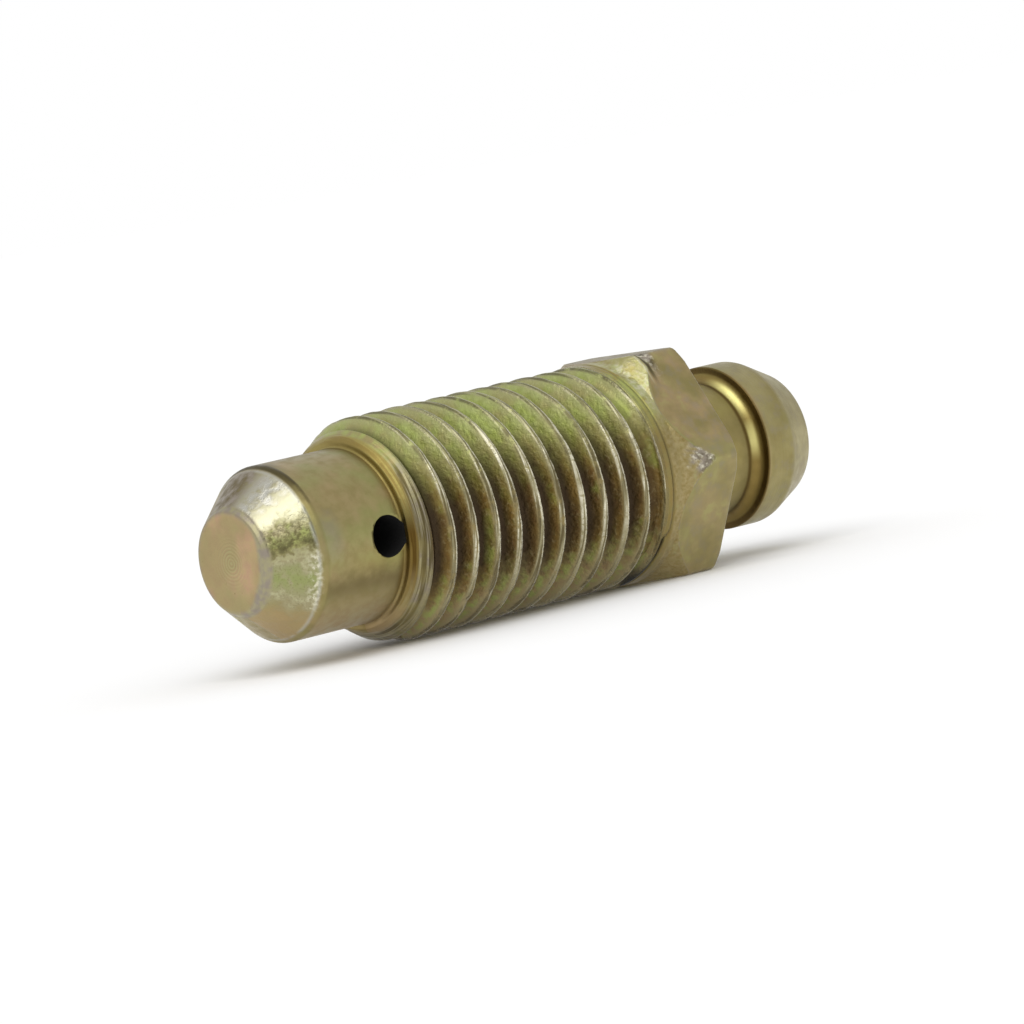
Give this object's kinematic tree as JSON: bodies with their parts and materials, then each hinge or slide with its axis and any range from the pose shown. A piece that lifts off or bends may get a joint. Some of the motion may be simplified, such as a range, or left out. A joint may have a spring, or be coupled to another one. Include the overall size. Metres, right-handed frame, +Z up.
{
  "type": "bleeder screw",
  "caption": "Turned screw with a seat cone, plain pilot with a cross hole, right-hand thread, hexagon, necked hose nose and an axial bore that ends blind near the tip.",
  "frame": {"origin": "centre of the footprint, on the ground under the middle of the screw's length", "axes": "+X along the screw from the tip to the hose nose, +Z up out of the hexagon flat it lies on, the cross hole faces -Y"},
  "size_m": [0.0316, 0.0116, 0.01],
  "materials": {
    "plated_steel": "yellow chromate over zinc plating on turned steel, satin, worn bright on the seat cone and the crests"
  },
  "bodies": {
    "root": {"bleeder_screw": "plated_steel"}
  },
  "joints": []
}
